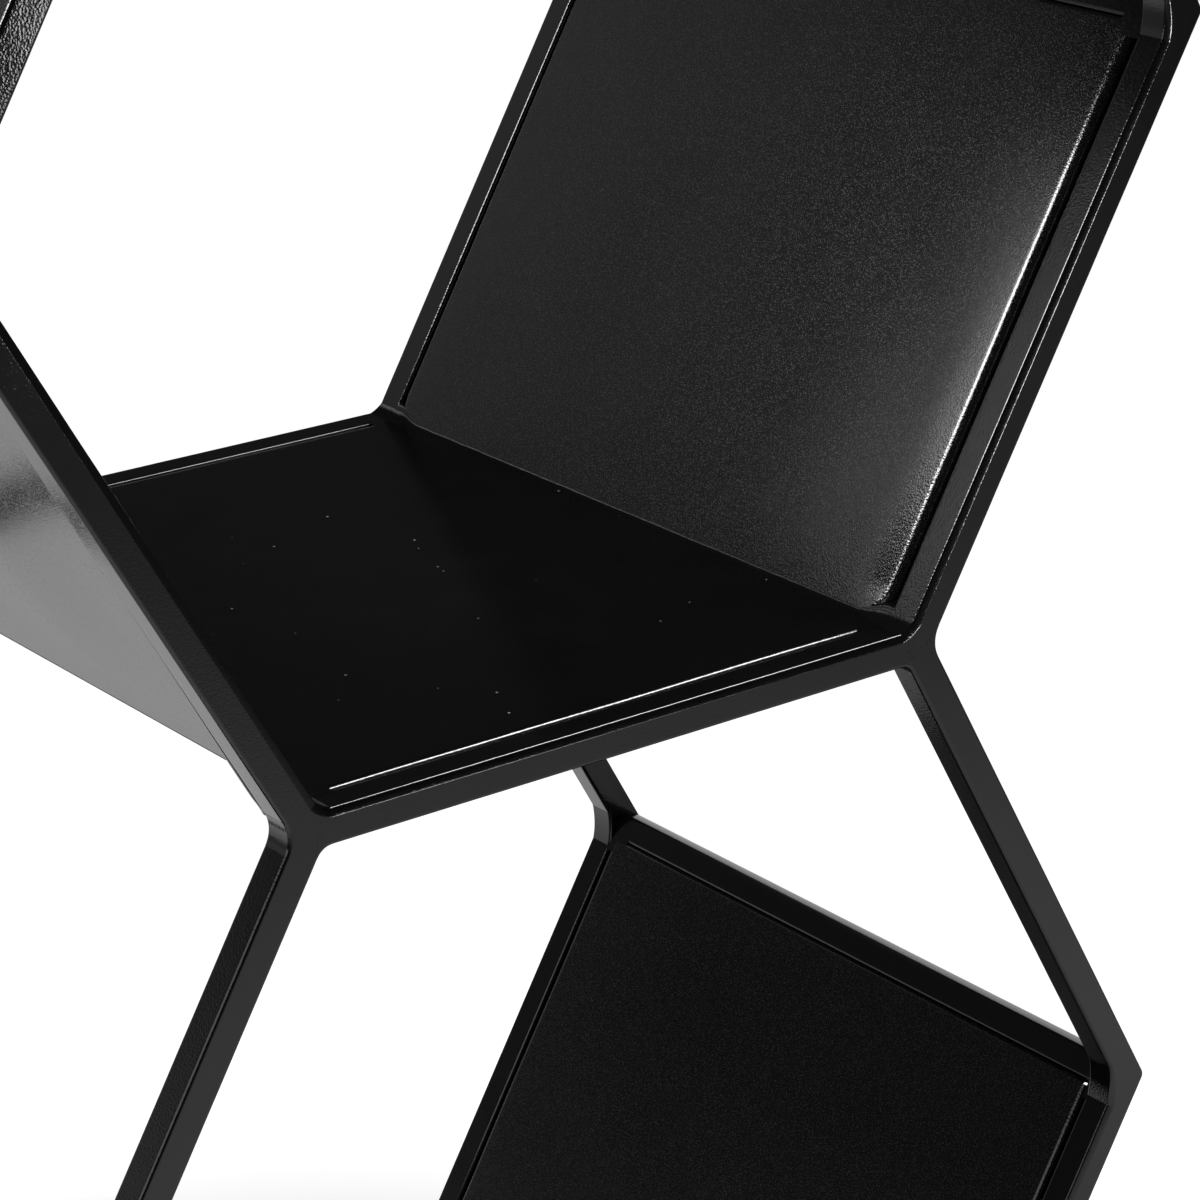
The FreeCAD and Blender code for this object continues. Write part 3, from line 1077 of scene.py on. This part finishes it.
def make_floor():
    """A wide pale floor, plain white away from the part and dimmed near it as painted shade. The coat mirrors
    softer light from it, painted as pools and as shade under the part.
    """
    mesh = bpy.data.meshes.new("floor")
    corners = [(x * FLOOR_HALF, y * FLOOR_HALF, 0) for x, y in ((-1, -1), (1, -1), (1, 1), (-1, 1))]
    mesh.from_pydata(corners, [], [(0, 1, 2, 3)])
    floor = bpy.data.objects.new("floor", mesh)
    floor.location.z = -FLOOR_DROP
    bpy.context.scene.collection.objects.link(floor)
    material, tree, shader = new_material("studio_floor")
    shader.inputs["Base Color"].default_value = (*FLOOR_COLOUR, 1)
    shader.inputs["Roughness"].default_value = FLOOR_ROUGHNESS
    shader.inputs["Specular IOR Level"].default_value = 0.0
    place = tree.nodes.new("ShaderNodeNewGeometry").outputs["Position"]
    axes = split_axes(tree, place)
    seen, path = seen_directly(tree)
    # Painted shade: the floor's glow for the camera is weaker near the part.
    white = soft_step(tree, compare(tree, "DISTANCE", place, (0, 0, 0)), PAINTED_SHADE_STEP)
    # Painted light for mirrors only: pools and patches of glow, weak under the part as painted shade.
    from_pool = compare(tree, "DISTANCE", place, POOL_CENTRE)
    near, far = (soft_step(tree, from_pool, step) for step in (POOL_NEAR_STEP, POOL_FAR_STEP))
    pool = add_math(tree, "ADD", near, far)
    front = add_math(tree, "MULTIPLY", pool, soft_step(tree, axes["Y"], POOL_BACK_STEP))
    left = soft_step(tree, compare(tree, "DISTANCE", place, LEFT_CENTRE), LEFT_STEP)
    back_fade = soft_step(tree, compare(tree, "DISTANCE", place, BACK_CENTRE), BACK_FADE)
    back = add_math(tree, "MULTIPLY", soft_step(tree, axes["Y"], BACK_STEP), back_fade)
    right_fade = soft_step(tree, axes["Y"], RIGHT_FADE)
    right = add_math(tree, "MULTIPLY", soft_step(tree, axes["X"], RIGHT_STEP), right_fade)
    mirrored = front
    for part in (left, back, right):
        mirrored = add_math(tree, "ADD", mirrored, part)
    painted_mirror_light = add_math(tree, "MULTIPLY", path.outputs["Is Glossy Ray"], mirrored)
    strength = add_math(tree, "MULTIPLY_ADD", seen, white, painted_mirror_light)
    shader.inputs["Emission Color"].default_value = (*WHITE, 1)
    tree.links.new(strength, shader.inputs["Emission Strength"])
    mesh.materials.append(material)


def add_softbox(name, ends, height, target, watts, spread=180):
    """An area light whose middle line runs between two ends and that faces the target."""
    one_end, other_end = Vector(ends[0]), Vector(ends[1])
    middle = (one_end + other_end) / 2
    light = bpy.data.lights.new(name, "AREA")
    light.shape = "RECTANGLE"
    light.size = (other_end - one_end).length
    light.size_y = height
    light.energy = watts
    light.spread = math.radians(spread)
    lamp = bpy.data.objects.new(name, light)
    bpy.context.scene.collection.objects.link(lamp)
    x_axis = (other_end - one_end).normalized()
    back = middle - Vector(target)
    z_axis = (back - x_axis * back.dot(x_axis)).normalized()
    turn = Matrix((x_axis, z_axis.cross(x_axis), z_axis)).transposed()
    lamp.matrix_world = Matrix.Translation(middle) @ turn.to_4x4()
    lamp.visible_camera = False


def add_glow(tree, direction, azimuth, elevation, inner, outer, level):
    """A soft round patch of sky."""
    azimuth, elevation = math.radians(azimuth), math.radians(elevation)
    run = math.cos(elevation)
    middle = (-math.sin(azimuth) * run, math.cos(azimuth) * run, math.sin(elevation))
    near = compare(tree, "DOT_PRODUCT", direction, middle)
    return soft_step(tree, near, (math.cos(math.radians(outer)), math.cos(math.radians(inner)), 0.0, level))


def make_sky():
    """A dim sky with soft patches that the coat mirrors. The camera sees it white."""
    world = bpy.data.worlds.new("studio")
    world.use_nodes = True
    tree = world.node_tree
    direction = tree.nodes.new("ShaderNodeTexCoord").outputs["Generated"]
    axes = split_axes(tree, direction)
    horizon, fade = soft_step(tree, axes["Z"], HORIZON_STEP), soft_step(tree, axes["Y"], HORIZON_FADE)
    sky = add_math(tree, "MULTIPLY_ADD", horizon, fade, SKY_LEVEL)
    for glow in GLOWS:
        sky = add_math(tree, "ADD", sky, add_glow(tree, direction, *glow))
    seen, _ = seen_directly(tree)
    background = tree.nodes["Background"]
    background.inputs["Color"].default_value = (*WHITE, 1)
    tree.links.new(add_math(tree, "MAXIMUM", sky, seen), background.inputs["Strength"])
    bpy.context.scene.world = world


def light_stage():
    """One softbox from above, three for the right panel and its edge, one for the legs, one for the front."""
    add_softbox("overhead", ends=((1.5, -0.8, 2.6), (1.5, -0.2, 2.6)), height=0.8,
                target=(0.1, -0.2, 0.6), watts=4.4, spread=50)
    add_softbox("left_back", ends=((-1.194, 1.483, 1.655), (-1.374, 1.310, 1.70)), height=0.56,
                target=PANEL_TARGET, watts=0.052, spread=60)
    add_softbox("left_edge", ends=((-1.41, 0.69, 1.86), (-1.58, -0.35, 1.92)), height=0.40,
                target=PANEL_TARGET, watts=2.2, spread=40)
    add_softbox("left_side", ends=((-1.374, 1.310, 1.84), (-1.60, 0.97, 1.95)), height=0.38,
                target=PANEL_TARGET, watts=0.17, spread=36)
    add_softbox("leg_side", ends=((-2.1, -1.4, 1.0), (-2.1, 0.6, 1.0)), height=0.75,
                target=(-0.2, -0.3, 0.4), watts=8.0)
    add_softbox("front_low", ends=((1.2, -2.6, 0.27), (1.8, -2.4, 0.27)), height=0.3,
                target=(0.25, -0.2, 0.7), watts=1.6, spread=36)


def make_camera():
    azimuth, down, roll = (math.radians(a) for a in (CAMERA_AZIMUTH, CAMERA_DOWN, CAMERA_ROLL))
    ahead = Vector((math.sin(azimuth) * math.cos(down), math.cos(azimuth) * math.cos(down), -math.sin(down)))
    right = Vector((math.cos(azimuth), -math.sin(azimuth), 0))
    up = right.cross(ahead)
    turned_right = right * math.cos(roll) + up * math.sin(roll)
    turned_up = up * math.cos(roll) - right * math.sin(roll)
    data = bpy.data.cameras.new("camera")
    data.sensor_width = CAMERA_SENSOR
    data.lens = CAMERA_LENS
    data.clip_end = CAMERA_REACH
    camera = bpy.data.objects.new("camera", data)
    bpy.context.scene.collection.objects.link(camera)
    turn = Matrix((turned_right, turned_up, -ahead)).transposed()
    camera.matrix_world = Matrix.Translation(CAMERA_PLACE) @ turn.to_4x4()
    bpy.context.scene.camera = camera


build_part()
make_floor()
make_sky()
light_stage()
make_camera()
bpy.context.scene.view_settings.view_transform = "Standard"
